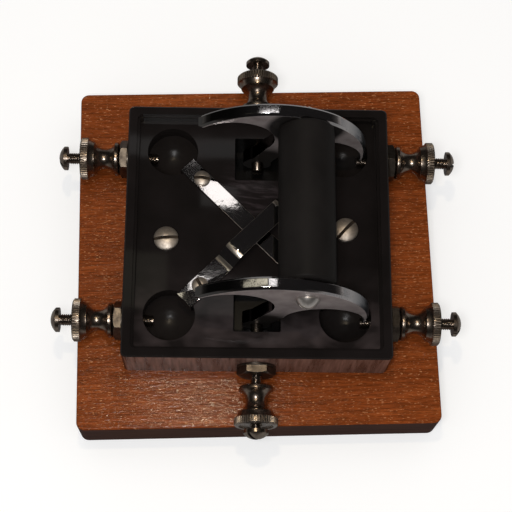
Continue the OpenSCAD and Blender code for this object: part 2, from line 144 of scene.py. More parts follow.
shoulder.color = (0.06, 0.055, 0.052, 1)
wl.new(direction.outputs["Generated"], split.inputs[0])
wl.new(split.outputs["Z"], ceiling.inputs["Fac"])
wl.new(ceiling.outputs["Color"], room.inputs["Color"])


def mirrored_rays(nodes, links):
    """The light path node, and 1 for the rays that show the room in metal or glass."""
    path = nodes.new("ShaderNodeLightPath")
    either = nodes.new("ShaderNodeMath")
    either.operation = "MAXIMUM"
    links.new(path.outputs["Is Glossy Ray"], either.inputs[0])
    links.new(path.outputs["Is Transmission Ray"], either.inputs[1])
    return path, either.outputs[0]


path, mirrored = mirrored_rays(wn, wl)
lit_or_mirrored = wn.new("ShaderNodeMixShader")
wl.new(mirrored, lit_or_mirrored.inputs["Fac"])
wl.new(ambient.outputs[0], lit_or_mirrored.inputs[1])
wl.new(room.outputs[0], lit_or_mirrored.inputs[2])
seen_or_not = wn.new("ShaderNodeMixShader")
wl.new(path.outputs["Is Camera Ray"], seen_or_not.inputs["Fac"])
wl.new(lit_or_mirrored.outputs[0], seen_or_not.inputs[1])
wl.new(paper_white.outputs[0], seen_or_not.inputs[2])
wl.new(seen_or_not.outputs[0], world_out.inputs["Surface"])
print("world", world.name, "with", len(wn), "nodes")

# %% Lamps
WARM = (1.0, 0.95, 0.74)
NEUTRAL = (1.0, 0.985, 0.97)
GLINT = (1.0, 0.82, 0.58)


def area_lamp(name, place, aim, width, height, watts, colour=(1, 1, 1)):
    """A rectangular lamp that is turned toward a point. Lengths are in metres."""
    lamp = bpy.data.lights.new(name, "AREA")
    lamp.shape = "RECTANGLE"
    lamp.size, lamp.size_y = width, height
    lamp.energy = watts
    lamp.color = colour
    lamp_object = bpy.data.objects.new(name, lamp)
    lamp_object.location = place
    towards = Vector(aim) - Vector(place)
    lamp_object.rotation_euler = towards.to_track_quat("-Z", "Y").to_euler()
    bpy.context.scene.collection.objects.link(lamp_object)


def ceiling_panel(name, west, east, front, back, radiance, colour):
    """A level panel at a height of one metre, between the given X and Y in metres."""
    width, depth = east - west, back - front
    middle = ((west + east) / 2, (front + back) / 2, 1.0)
    below = (middle[0], middle[1], 0)
    watts = radiance * math.pi * width * depth
    area_lamp(name, middle, below, width, depth, watts, colour)


ON_THE_BOARD = (0, 0, 0.02)
area_lamp("main_lamp", (-0.05, -0.17, 0.50), ON_THE_BOARD, 0.075, 0.060, 0.80)
area_lamp("glint_lamp", (-0.03, 0.036, 0.60), ON_THE_BOARD, 0.014, 0.014, 0.46, GLINT)
ceiling_panel("panel_behind", -0.26, 0.13, 0.430, 0.4535, 1.7, NEUTRAL)
ceiling_panel("panel_strap", -0.040, 0.000, 0.372, 0.404, 1.7, NEUTRAL)
ceiling_panel("panel_above", -0.050, 0.10, 0.244, 0.286, 1.7, NEUTRAL)
ceiling_panel("panel_left", -0.60, -0.076, 0.25, 0.315, 0.9, WARM)

# %% Floor
FLOOR_SIDE = 6.0
PAPER_GREY, PAPER_GREY_IN_METAL = 0.55, 0.26
PAPER_GLOW, PAPER_GLOW_IN_METAL = 0.5, 0.08


def glow_strength(nodes, links, in_camera, in_metal):
    """One strength for the camera, a lower one in mirrors, and none for other rays."""
    path, mirrored = mirrored_rays(nodes, links)
    seen = nodes.new("ShaderNodeMath")
    seen.operation = "MULTIPLY"
    seen.inputs[1].default_value = in_camera
    links.new(path.outputs["Is Camera Ray"], seen.inputs[0])
    total = nodes.new("ShaderNodeMath")
    total.operation = "MULTIPLY_ADD"
    total.inputs[1].default_value = in_metal
    links.new(mirrored, total.inputs[0])
    links.new(seen.outputs[0], total.inputs[2])
    return total.outputs[0]


floor_mesh = bmesh.new()
bmesh.ops.create_grid(floor_mesh, x_segments=1, y_segments=1, size=FLOOR_SIDE / 2)
floor_data = bpy.data.meshes.new("floor")
floor_mesh.to_mesh(floor_data)
floor_mesh.free()
floor = bpy.data.objects.new("floor", floor_data)
bpy.context.scene.collection.objects.link(floor)
floor_finish = bpy.data.materials.new("floor_paper")
floor_finish.use_nodes = True
fn, fl = floor_finish.node_tree.nodes, floor_finish.node_tree.links
paper = fn["Principled BSDF"]
shade = fn.new("ShaderNodeMapRange")
shade.inputs["To Min"].default_value = PAPER_GREY
shade.inputs["To Max"].default_value = PAPER_GREY_IN_METAL
fl.new(mirrored_rays(fn, fl)[1], shade.inputs["Value"])
fl.new(shade.outputs["Result"], paper.inputs["Base Color"])
paper.inputs["Roughness"].default_value = 0.9
paper.inputs["Specular IOR Level"].default_value = 0.1
glow = fn.new("ShaderNodeEmission")
glow.inputs["Color"].default_value = (1, 1, 1, 1)
fl.new(glow_strength(fn, fl, PAPER_GLOW, PAPER_GLOW_IN_METAL), glow.inputs["Strength"])
lit_and_glowing = fn.new("ShaderNodeAddShader")
fl.new(paper.outputs[0], lit_and_glowing.inputs[0])
fl.new(glow.outputs[0], lit_and_glowing.inputs[1])
fl.new(lit_and_glowing.outputs[0], fn["Material Output"].inputs["Surface"])
floor_data.materials.append(floor_finish)
print("floor", FLOOR_SIDE, "m wide")

# %% [markdown]
# Helpers for finishes
# Each finish is one Principled shader. Its colour, roughness and bump come from
# noise that is read on object coordinates, so a pattern keeps its real size and
# stays on its piece when the rocker tips. These helpers make the parts that all
# finishes share, and sizes in them are given in millimetres.

# %% Small helpers for shader nodes
SOFT_END_MM = 0.3


class Finish:
    """One material under construction."""

    def __init__(self, name, metallic=0.0, specular=0.5):
        self.material = bpy.data.materials.new(name)
        self.material.use_nodes = True
        self.nodes = self.material.node_tree.nodes
        self.links = self.material.node_tree.links
        self.shader = self.nodes["Principled BSDF"]
        self.shader.inputs["Metallic"].default_value = metallic
        self.shader.inputs["Specular IOR Level"].default_value = specular
        texture = self.nodes.new("ShaderNodeTexCoord")
        self.coordinates = texture.outputs["Object"]
        self.normal = texture.outputs["Normal"]
        self.last_bump = None

    def stretched(self, grain_mm, turn_degrees=0.0):
        """Object coordinates in which one unit is grain_mm along X, Y and Z."""
        turned = self.coordinates
        if turn_degrees:
            about_z = self.nodes.new("ShaderNodeMapping")
            about_z.inputs["Rotation"].default_value = (0, 0, math.radians(turn_degrees))
            self.links.new(turned, about_z.inputs["Vector"])
            turned = about_z.outputs["Vector"]
        scaled = self.nodes.new("ShaderNodeMapping")
        scaled.inputs["Scale"].default_value = [1 / (g * MM) for g in grain_mm]
        self.links.new(turned, scaled.inputs["Vector"])
        return scaled.outputs["Vector"]

    def noise(self, grain_mm, detail=3.0, roughness=0.55, distortion=0.0, turn_degrees=0.0):
        texture = self.nodes.new("ShaderNodeTexNoise")
        texture.inputs["Scale"].default_value = 1.0
        texture.inputs["Detail"].default_value = detail
        texture.inputs["Roughness"].default_value = roughness
        texture.inputs["Distortion"].default_value = distortion
        self.links.new(self.stretched(grain_mm, turn_degrees), texture.inputs["Vector"])
        return texture.outputs["Fac"]

    def ramp(self, value, stops):
        """A colour ramp. Each stop is a place from 0 to 1 and a grey level or a colour."""
        node = self.nodes.new("ShaderNodeValToRGB")
        elements = node.color_ramp.elements
        while len(elements) < len(stops):
            elements.new(0.5)
        for element, (place, colour) in zip(elements, stops):
            element.position = place
            shade = (colour,) * 3 if isinstance(colour, (int, float)) else colour
            element.color = (*shade, 1)
        self.links.new(value, node.inputs["Fac"])
        return node.outputs["Color"]

    def blend(self, factor, first, second, mode="MIX"):
        node = self.nodes.new("ShaderNodeMix")
        node.data_type = "RGBA"
        node.blend_type = mode
        if isinstance(factor, (int, float)):
            node.inputs["Factor"].default_value = factor
        else:
            self.links.new(factor, node.inputs["Factor"])
        for socket, value in ((node.inputs["A"], first), (node.inputs["B"], second)):
            if isinstance(value, tuple):
                socket.default_value = (*value, 1)
            else:
                self.links.new(value, socket)
        return node.outputs["Result"]

    def times(self, first, second):
        return self.blend(1.0, first, second, "MULTIPLY")

    def level(self, value, low, high, from_low=0.0, from_high=1.0):
        node = self.nodes.new("ShaderNodeMapRange")
        node.inputs["From Min"].default_value = from_low
        node.inputs["From Max"].default_value = from_high
        node.inputs["To Min"].default_value = low
        node.inputs["To Max"].default_value = high
        self.links.new(value, node.inputs["Value"])
        return node.outputs["Result"]

    def mask(self, distance, none_at_mm, full_at_mm):
        """0 at one distance, 1 at another, and a slope between them."""
        return self.level(distance, 0.0, 1.0, none_at_mm * MM, full_at_mm * MM)

    def vector(self, operation, value, constant=(0, 0, 0), result="Vector"):
        node = self.nodes.new("ShaderNodeVectorMath")
        node.operation = operation
        node.inputs[1].default_value = constant
        self.links.new(value, node.inputs[0])
        return node.outputs[result]

    def offset(self, origin_mm):
        return self.vector("SUBTRACT", self.coordinates, [v * MM for v in origin_mm])

    def size(self, vector, axis):
        """How large one component of a vector is, whatever its sign."""
        parts = self.nodes.new("ShaderNodeSeparateXYZ")
        absolute = self.nodes.new("ShaderNodeMath")
        absolute.operation = "ABSOLUTE"
        self.links.new(vector, parts.inputs[0])
        self.links.new(parts.outputs[axis], absolute.inputs[0])
        return absolute.outputs[0]

    def along(self, direction, origin_mm, none_at_mm, full_at_mm):
        """A mask that grows along a direction, between two distances from an origin."""
        distance = self.vector("DOT_PRODUCT", self.offset(origin_mm), direction, "Value")
        return self.mask(distance, none_at_mm, full_at_mm)

    def near_sides(self, none_at_mm, full_at_mm):
        """A mask from how far a place lies out from the middle, along X or Y."""
        furthest = self.nodes.new("ShaderNodeMath")
        furthest.operation = "MAXIMUM"
        for socket, axis in zip(furthest.inputs, ("X", "Y")):
            self.links.new(self.size(self.coordinates, axis), socket)
        return self.mask(furthest.outputs[0], none_at_mm, full_at_mm)

    def around(self, middle_mm, none_at_mm, full_at_mm):
        """A round patch: 0 from one distance of its middle, and 1 inside a nearer one."""
        distance = self.vector("LENGTH", self.offset(middle_mm), result="Value")
        return self.mask(distance, none_at_mm, full_at_mm)

    def near_axis(self, middle_mm, none_at_mm, full_at_mm, reach_mm):
        """A mask round an axis along Y through a point, within reach of it along Y."""
        offset = self.offset(middle_mm)
        across = self.vector("MULTIPLY", offset, (1, 0, 1))
        near = self.mask(self.vector("LENGTH", across, result="Value"), none_at_mm, full_at_mm)
        within = self.mask(self.size(offset, "Y"), reach_mm + SOFT_END_MM, reach_mm)
        return self.times(near, within)

    def facing(self, axis, none_at, full_at):
        """A mask from how far the surface faces along X, Y or Z, either way."""
        return self.level(self.size(self.normal, axis), 0.0, 1.0, none_at, full_at)

    def bump(self, height, depth_mm, strength=1.0):
        node = self.nodes.new("ShaderNodeBump")
        node.inputs["Strength"].default_value = strength
        node.inputs["Distance"].default_value = depth_mm * MM
        self.links.new(height, node.inputs["Height"])
        if self.last_bump:
            self.links.new(self.last_bump, node.inputs["Normal"])
        self.last_bump = node.outputs["Normal"]
        self.links.new(self.last_bump, self.shader.inputs["Normal"])

    def set(self, **sockets):
        names = {"colour": "Base Color", "roughness": "Roughness", "metallic": "Metallic"}
        for key, value in sockets.items():
            socket = self.shader.inputs[names[key]]
            if isinstance(value, tuple):
                socket.default_value = (*value, 1)
            elif isinstance(value, (int, float)):
                socket.default_value = value
            else:
                self.links.new(value, socket)


# %% [markdown]
# The board's wood
# A reddish brown stain on an open-pored hardwood, with the grain from left to
# right. Long soft bands give the figure, fine streaks the fibre, and short dark
# dashes the open pores. The varnish is thin and follows the pores, so it glitters
# in light specks and dashes where the lamp is mirrored, and pale dashes in the
# colour add a painted glint. The grain is turned with the board. The upright sides
# are painted nearly black as painted shade and have no varnish, and the eased edges
# fade from the one into the other.

# %% Wood
BOARD_SKEW = 1.8
# The upright sides are painted nearly black: painted shade.
PAINTED_SIDE_SHADE = (0.046, 0.017, 0.010)
# Pale dashes in the wood's colour are a painted glint of the varnish.
PAINTED_GLINT = (0.58, 0.26, 0.110)
wood = Finish("stained_wood", specular=0.16)


def grain(size_mm, detail, **more):
    """Noise that is drawn out along the fibres of the turned board."""
    return wood.noise(size_mm, detail, turn_degrees=-BOARD_SKEW, **more)


figure = grain((55, 6, 30), 4, distortion=0.5)
fibre = grain((8, 0.55, 3), 4, roughness=0.62)
pores = grain((2.6, 0.34, 1.2), 2, roughness=0.5)
relief = grain((6, 0.8, 3), 1)
grit = grain((1.5, 0.36, 0.8), 1)
# Noise for the pale dashes of the painted glint.
glint_dashes = grain((1.3, 0.36, 0.8), 2)
base_tone = wood.ramp(figure, [(0.30, (0.158, 0.0345, 0.0072)), (0.52, (0.195, 0.0435, 0.0090)),
                               (0.72, (0.236, 0.0560, 0.0120))])
streaks = wood.ramp(fibre, [(0.36, 0.68), (0.50, 1.0), (0.64, 1.32)])
pore_dark = wood.ramp(pores, [(0.32, 0.60), (0.44, 1.0)])
wood_colour = wood.times(wood.times(base_tone, streaks), pore_dark)
# Paints the pale glint dashes into the colour.
wood_colour = wood.blend(wood.ramp(glint_dashes, [(0.62, 0.0), (0.70, 0.7)]), wood_colour, PAINTED_GLINT)
# The upright faces and eased edges fade to the painted shade.
wood_colour = wood.blend(wood.facing("Z", 0.4, 0.2), wood_colour, PAINTED_SIDE_SHADE)
wood.set(colour=wood_colour, roughness=wood.level(grit, 0.10, 0.20, 0.35, 0.65))
wood.bump(relief, 0.12)
wood.bump(grit, 0.075)
# The finish of the upright sides, near black, is painted shade.
sides = Finish("painted_shade_sides", specular=0.03)
sides.set(colour=sides.ramp(sides.noise((18, 18, 1.5), detail=4),
                            [(0.35, (0.040, 0.0150, 0.0090)), (0.65, (0.062, 0.0250, 0.0160))]),
          roughness=0.55)

# %% [markdown]
# The black moulding
# The block is moulded from a black compound that has kept its gloss on top. The
# colour is nearly black with a brown cast, in faint clouds. Its side walls have drawn
# streaks from the mould and a brown film of dust that is also a painted reflection
# of the board. The cups are satin, and the wells are painted darker still, as
# painted shade. On the tray, dust lies toward the front and in a patch behind the
# straps, and both lighter patches are also a painted sheen. The masks find these
# places by where they lie and how they face.

# %% Moulded block
# Dust at the front of the tray, which is also a painted sheen.
TRAY_DUST_AND_SHEEN = (0.0460, 0.0358, 0.0358)
# Dust in a patch behind the straps, which is also a painted sheen.
WIPED_DUST_AND_SHEEN = (0.0330, 0.0260, 0.0280)
# Painted shade inside the wells.
WELL_SHADE = (0.0035, 0.0030, 0.0028)
SATIN = (0.27, 0.27, 0.27)
moulding = Finish("black_moulding", specular=0.11)
clouds = moulding.noise((16, 16, 16), detail=3)
scuffs = moulding.noise((4, 0.3, 3), detail=3, turn_degrees=25)
drawn = moulding.noise((1.7, 1.7, 22), detail=4)
# Noise for the clouds of dust and painted sheen toward the front.
dust_and_sheen_clouds = moulding.noise((13, 8, 9), detail=2, distortion=0.3)
# Noise for the strokes of dust and painted sheen behind the straps.
dust_and_sheen_strokes = moulding.noise((9, 1.6, 9), detail=4, distortion=1.2, turn_degrees=8)

gloss_black = moulding.ramp(clouds, [(0.3, (0.0072, 0.0060, 0.0056)),
                                     (0.7, (0.0108, 0.0086, 0.0084))])
cup_dust = moulding.ramp(clouds, [(0.3, (0.0105, 0.0084, 0.0078)),
                                  (0.7, (0.0165, 0.0135, 0.0125))])
# Drawn dust on the walls, brown as a painted reflection of the board as well.
wall_dust_and_reflection = moulding.ramp(drawn, [(0.34, (0.074, 0.039, 0.030)), (0.66, (0.188, 0.104, 0.082))])

toward_front = moulding.along((0, -1, 0), (0, 0, 0), 12, 44)
below_rim = moulding.along((0, 0, -1), (0, 0, TRAY_FLOOR + 2.3), 0, 1)
# Dust toward the front of the tray, also a painted sheen.
front_dust_and_sheen = moulding.times(toward_front, moulding.ramp(dust_and_sheen_clouds, [(0.38, 0.10), (0.66, 1.0)]))
front_dust_and_sheen = moulding.times(front_dust_and_sheen, below_rim)
# A patch of dust behind the straps, also a painted sheen.
wiped_dust_and_sheen = moulding.times(moulding.around((0, 17, 35), 15, 6),
                            moulding.ramp(dust_and_sheen_strokes, [(0.45, 0.1), (0.68, 1.0)]))
gloss_black = moulding.blend(front_dust_and_sheen, gloss_black, TRAY_DUST_AND_SHEEN)
gloss_black = moulding.blend(wiped_dust_and_sheen, gloss_black, WIPED_DUST_AND_SHEEN)

flat_top = moulding.times(moulding.facing("Z", 0.97, 0.995),
                          moulding.along((0, 0, 1), (0, 0, TRAY_FLOOR - 0.7), 0, 0.4))
wall = moulding.times(moulding.facing("Z", 0.35, 0.15),
                      moulding.near_sides(BLOCK_HALF - 0.35, BLOCK_HALF - 0.15))
# Where the wells lie below the tray, for their painted shade.
well_shade_mask = moulding.times(moulding.near_axis(PIVOT, 20.0, 15.0, 46.0),
                          moulding.along((0, 0, -1), (0, 0, TRAY_FLOOR - 0.3), 0, 0.5))
inside = moulding.blend(well_shade_mask, cup_dust, WELL_SHADE)
top_gloss = moulding.level(clouds, 0.03, 0.05, 0.3, 0.7)
moulding.set(colour=moulding.blend(wall, moulding.blend(flat_top, inside, gloss_black), wall_dust_and_reflection),
             roughness=moulding.blend(flat_top, SATIN, top_gloss))
moulding.bump(scuffs, 0.003, 0.15)

# %% [markdown]
# The handle bar
# Turned hard rubber, quite dull. The lathe left faint rings round it, and hands
# have worn it unevenly.

# %% Handle bar
bar_finish = Finish("turned_hard_rubber", specular=0.09)
lathe_rings = bar_finish.noise((30, 0.35, 30), detail=2)
handled = bar_finish.noise((12, 16, 12), detail=3)
bar_finish.set(colour=bar_finish.ramp(handled, [(0.3, (0.0078, 0.0068, 0.0064)),
                                                (0.7, (0.0115, 0.0098, 0.0093))]),
               roughness=bar_finish.level(handled, 0.5, 0.62, 0.3, 0.7))
bar_finish.bump(lathe_rings, 0.02, 0.3)

# %% [markdown]
# Polished metal
# The arches and the straps are polished and plated. Age has pitted them: dull
# specks lie in patches, and the plating is clean between them. The straps have
# shallow dents, so what they mirror has ragged edges, and they are scoured where
# they bend over the bridge. The flat sides of the arches were never polished like
# their crowns. They are satin, with a thin grey tarnish, and the mask finds them by
# their direction, which stays the same when the rocker tips. The sides are painted
# dark round the bar and the feet are painted dark near the pivot, both painted
# shade, and the two ends of the crowns carry a painted dark reflection.

# %% Plated steel of the straps


def plated(name, clean, dull, speck_amount, clean_roughness, worn_roughness):
    finish = Finish(name, metallic=1.0)
    patch = finish.ramp(finish.noise((9, 9, 9), detail=3, distortion=0.3),
                        [(0.46, 0.0), (0.66, 1.0)])
    speck = finish.ramp(finish.noise((0.5, 0.5, 0.5), detail=2, roughness=0.6),
                        [(0.54, 0.0), (0.62, 1.0)])
    worn = finish.times(patch, speck)
    colour = finish.blend(finish.level(worn, 0.0, speck_amount), clean, dull)
    roughness = finish.level(worn, clean_roughness, worn_roughness)
    return finish, colour, roughness, speck


strap_finish, colour, roughness, _ = plated(
    "strap_plating", (0.62, 0.59, 0.58), (0.46, 0.43, 0.41), 0.35, 0.035, 0.055)
sloping = strap_finish.times(strap_finish.facing("Z", 0.995, 0.975),
                             strap_finish.facing("Z", 0.80, 0.82))
bend = strap_finish.times(sloping, strap_finish.around((0, 0, 36), 24, 20))
strap_finish.set(colour=strap_finish.blend(bend, colour, (0.78, 0.70, 0.60)),
                 roughness=strap_finish.blend(bend, roughness, (0.30, 0.30, 0.30)))
dents = strap_finish.noise((3.5, 3.5, 3.5), detail=3)
strap_finish.bump(dents, 0.008)

# %% Plated steel of the arches
TO_RIGHT_TIP = (math.cos(REST_TILT), 0, -math.sin(REST_TILT))
TO_LEFT_TIP = (-math.cos(REST_TILT), 0, math.sin(REST_TILT))
arch_finish, colour, roughness, speck = plated(
    "arch_plating", (0.60, 0.58, 0.585), (0.14, 0.12, 0.11), 0.6, 0.06, 0.2)
blotches = arch_finish.ramp(arch_finish.noise((4, 4, 4), detail=3), [(0.25, 0.55), (0.5, 1.0)])
# Toward the right tip the crown is painted blotchy grey, a painted dark reflection.
darkened = arch_finish.times(arch_finish.along(TO_RIGHT_TIP, PIVOT, 14.0, 21.0), blotches)
# Toward the left tip the crown is painted dark, a painted dark reflection.
left_end_painted_dark = arch_finish.along(TO_LEFT_TIP, PIVOT, 17.0, 27.0)
# Near the pivot the feet are painted dark, a painted shade in the wells.
foot_shade = arch_finish.near_axis(PIVOT, 18.0, 12.0, 50.0)
side = arch_finish.facing("Y", 0.80, 0.95)
# The sides round the bar are painted dark, a painted shade from the bar.
bar_shade = arch_finish.times(side, arch_finish.near_axis(BAR_MIDDLE, 15.0, 12.5, 29.0))

# Painted dark reflection at the left end.
colour = arch_finish.blend(left_end_painted_dark, colour, (0.12, 0.115, 0.11))
# Painted dark reflection at the right end.
colour = arch_finish.blend(darkened, colour, (0.17, 0.18, 0.20))
# Painted shade at the feet.
colour = arch_finish.blend(foot_shade, colour, (0.10, 0.09, 0.085))
roughness = arch_finish.blend(darkened, roughness, (0.30, 0.30, 0.30))
tarnish = arch_finish.ramp(arch_finish.noise((5, 5, 5), detail=4),
                           [(0.3, (0.24, 0.20, 0.195)), (0.7, (0.38, 0.33, 0.32))])
# Painted shade on the sides round the bar.
tarnish = arch_finish.blend(bar_shade, tarnish, (0.022, 0.019, 0.018))
# Painted shade on the sides at the feet.
tarnish = arch_finish.blend(foot_shade, tarnish, (0.026, 0.022, 0.020))
arch_finish.set(colour=arch_finish.blend(side, colour, tarnish),
                roughness=arch_finish.blend(side, roughness, (0.42, 0.42, 0.42)),
                metallic=arch_finish.level(side, 1.0, 0.35))
arch_finish.bump(speck, 0.012, 0.15)

# %% [markdown]
# Nickelled brass of the terminals
# Dark, old nickel with a brown cast. It still has its shine on the turned pieces,
# and is duller and paler on the screws that a driver has worn. The slots are painted
# near black, a painted shade. The domed screws are plated like the arches, and quite dull.

# %% Terminal and screw metal


def nickelled(name, bright, darkened, roughness):
    finish = Finish(name, metallic=1.0)
    stain = finish.noise((2.2, 2.2, 2.2), detail=4, roughness=0.6)
    pits = finish.noise((0.4, 0.4, 0.4), detail=2)
    finish.set(colour=finish.ramp(stain, [(0.35, darkened), (0.6, bright)]),
               roughness=finish.level(stain, roughness + 0.1, roughness, 0.35, 0.65))
    finish.bump(pits, 0.015, 0.2)
    return finish.material


terminal_nickel = nickelled("browned_nickel", (0.30, 0.245, 0.20), (0.145, 0.115, 0.094), 0.22)
worn_nickel = nickelled("worn_nickel", (0.40, 0.34, 0.28), (0.22, 0.18, 0.148), 0.36)
nut_nickel = nickelled("nut_nickel", (0.145, 0.122, 0.10), (0.07, 0.057, 0.047), 0.33)
screw_nickel = nickelled("scoured_nickel", (0.70, 0.62, 0.54), (0.46, 0.40, 0.345), 0.46)
# The faces in the slots get this near-black finish as painted shade.
slot_shade = nickelled("slot_shade", (0.06, 0.048, 0.040), (0.028, 0.022, 0.018), 0.5)
dome_finish, colour, roughness, _ = plated(
    "dome_plating", (0.74, 0.70, 0.66), (0.40, 0.37, 0.34), 0.6, 0.38, 0.46)
dome_finish.set(colour=colour, roughness=roughness)
print("finishes", [m.name for m in bpy.data.materials])

# %% [markdown]
# Helpers for pieces
# A solid from the frame has knife-sharp edges, and real edges catch a line of
# light. For most pieces a copy of the solid gets its loose triangles merged and
# a fine bevel on every real edge. Normals weighted by face area keep the flats
# flat, so a polished flat mirrors without waves. The copy stands for the solid,
# rides on the same body and keeps its size.

# %% Make, finish and place a piece


def add_piece(shape, name, finish, body, slot, *nodes):
    """Turns a bmesh into a shown piece that stands for the given solids."""
    data = bpy.data.meshes.new(name)
    shape.to_mesh(data)
    shape.free()
    data.materials.append(finish)
    data.shade_smooth()
    piece = bpy.data.objects.new(name, data)
    bpy.context.scene.collection.objects.link(piece)
    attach(piece, body)
    if nodes:
        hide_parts(*nodes)
    return piece


def bevel(shape, edges, width_mm, segments):
    bmesh.ops.bevel(shape, geom=edges, offset=width_mm * MM, offset_type="OFFSET",
                    segments=segments, profile=0.5, affect="EDGES", material=-1)


def soften(piece, width_mm, segments=2, angle=28):
    """Rounds every edge that turns by more than the angle, and evens the shading."""
    rounding = piece.modifiers.new("soft_edges", "BEVEL")
    rounding.width = width_mm * MM
    rounding.segments = segments
    rounding.limit_method = "ANGLE"
    rounding.angle_limit = math.radians(angle)
    even = piece.modifiers.new("even_shading", "WEIGHTED_NORMAL")
    even.weight = 80
    return piece


def merged_copy(node):
    """A bmesh of one node, with its triangles merged to flat faces."""
    shape = bmesh.new()
    shape.from_mesh(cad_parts[node].data)
    bmesh.ops.remove_doubles(shape, verts=shape.verts, dist=0.002 * MM)
    bmesh.ops.dissolve_limit(shape, angle_limit=math.radians(0.3),
                             verts=shape.verts, edges=shape.edges)
    return shape


def eased_copy(node, name, finish, body, slot, width_mm, segments=2):
    piece = add_piece(merged_copy(node), name, finish, body, slot, node)
    print(name, len(piece.data.polygons), "faces")
    return soften(piece, width_mm, segments)


# %% [markdown]
# The board
# One block of wood with rounded upright corners and eased edges. A cube is scaled,
# its upright edges get a wide bevel, its top edges a narrow one and its foot a fine
# one. The upright faces get the finish of the sides, which is painted shade.

# %% Board
BOARD_SIDE = 130 * MM
BOARD_SHIFT = Vector((-0.4 * MM, -2.2 * MM, 0))
CORNER_MM = 3
TOP_EASE_MM = 0.8
FOOT_EASE_MM = 0.3
UPRIGHT_BELOW = 0.3

board = bmesh.new()
bmesh.ops.create_cube(board, size=1)
bmesh.ops.scale(board, vec=(BOARD_SIDE, BOARD_SIDE, BOARD_TOP), verts=board.verts)
bmesh.ops.translate(board, vec=(0, 0, BOARD_TOP / 2), verts=board.verts)


def level_edges(height):
    """The board's edges with both ends at a height."""
    return [e for e in board.edges if all(abs(v.co.z - height) < 0.1 * MM for v in e.verts)]


upright = [e for e in board.edges
           if abs(e.verts[0].co.z - e.verts[1].co.z) > BOARD_TOP / 2]
bevel(board, upright, CORNER_MM, 8)
bevel(board, level_edges(BOARD_TOP), TOP_EASE_MM, 4)
bevel(board, level_edges(0), FOOT_EASE_MM, 2)
bmesh.ops.rotate(board, cent=(0, 0, 0), verts=board.verts,
                 matrix=Matrix.Rotation(math.radians(BOARD_SKEW), 3, "Z"))
bmesh.ops.translate(board, vec=BOARD_SHIFT, verts=board.verts)
for face in board.faces:
    face.material_index = int(abs(face.normal.z) < UPRIGHT_BELOW)
board_piece = add_piece(board, "wooden_board", wood.material, "base", "board_wood", "base_board")
# The upright faces take the finish of painted shade.
board_piece.data.materials.append(sides.material)
board_piece.modifiers.new("even_shading", "WEIGHTED_NORMAL").keep_sharp = True
print("board faces", len(board_piece.data.polygons))

# %% [markdown]
# Block, straps, arches and bar
# These keep the exact shape of their solids. Only their edges are eased: the
# moulded block most, the straps least. The bends of the straps are rounded. Only
# the small faces of a strap are shaded smooth, so its flats mirror without waves.

# %% Block
eased_copy("moulded_block", "block", moulding.material, "base", "block_black", 0.22)

# %% Find the bends of a strap
LEAST_BEND, MOST_BEND = math.radians(20), math.radians(60)


def bends(shape, across):
    """The edges of a strap's bends, which run across it and turn less than its rims."""
    return [e for e in shape.edges
            if len(e.link_faces) == 2
            and LEAST_BEND < e.calc_face_angle() < MOST_BEND
            and abs((e.verts[1].co - e.verts[0].co).normalized().dot(across)) > 0.99]


# %% Straps
BEND_MM = 1.1
STRAP_RIM_MM = 0.12
SMOOTH_BELOW = 3 * MM * MM
for node, name, across in (("lower_strap", "strap_below", Vector((1, 1, 0)).normalized()),
                           ("upper_strap", "strap_above", Vector((1, -1, 0)).normalized())):
    strap = merged_copy(node)
    print(name, "bends", len(bends(strap, across)))
    bevel(strap, bends(strap, across), BEND_MM, 6)
    rims = [e for e in strap.edges if e.calc_face_angle(0) > MOST_BEND]
    bevel(strap, rims, STRAP_RIM_MM, 2)
    piece = add_piece(strap, name, strap_finish.material, "base", "strap_chrome", node)
    for face in piece.data.polygons:
        face.use_smooth = face.area < SMOOTH_BELOW

# %% Arches and bar
eased_copy("front_arch", "arch_in_front", arch_finish.material, "rocker", "arch_chrome", 0.2)
eased_copy("back_arch", "arch_behind", arch_finish.material, "rocker", "arch_chrome", 0.2)
eased_copy("handle_bar", "grip", bar_finish.material, "rocker", "bar_black", 0.4, 3)

# %% [markdown]
# Screws, nuts and washers
# These small pieces are copies of their solids too, with eased edges. The heads have
# slots, and the faces in a slot get a dark finish, a painted shade. The slot's faces
# are found by their place: they lie between the two planes of its walls. A helper
# moves a point back to the head's own frame, where the slot runs along X. The strap
# screws lie on the block's diagonals. The domed heads stand on the outer faces of
# the arches. They are drawn a little fuller than their solids, and their slots get
# no painted shade.

# %% Frames of the terminals and heads
SLOT_HALF_WIDTH = 0.55
SLOT_SLACK = 0.02
PAST_THE_RIM = 0.5
UNDER_THE_HEAD = -0.1
HOLD_DOWN_RADIUS = 4.4
STRAP_HEAD_RADIUS = 2.95
STUD_HEAD_RADIUS = 4.4


def turn(degrees, axis):
    return Matrix.Rotation(math.radians(degrees), 4, axis)


def terminal_frame(angle, along):
    """The frame of a terminal in millimetres, with Z out of the block's face."""
    return (Matrix.Translation(PIVOT) @ turn(angle, "Z")
            @ Matrix.Translation((BLOCK_HALF, along, 0)) @ turn(90, "Y"))


# Each terminal's frame, and the turn of the slot in its head
TERMINALS = {
    "right_back": (terminal_frame(0, CUP_OFFSET), 35),
    "right_front": (terminal_frame(0, -CUP_OFFSET), 62),
    "left_back": (terminal_frame(180, -CUP_OFFSET), 118),
    "left_front": (terminal_frame(180, CUP_OFFSET), 50),
    "back": (terminal_frame(90, 0), 75),
    "front": (terminal_frame(270, 0), 40),
}


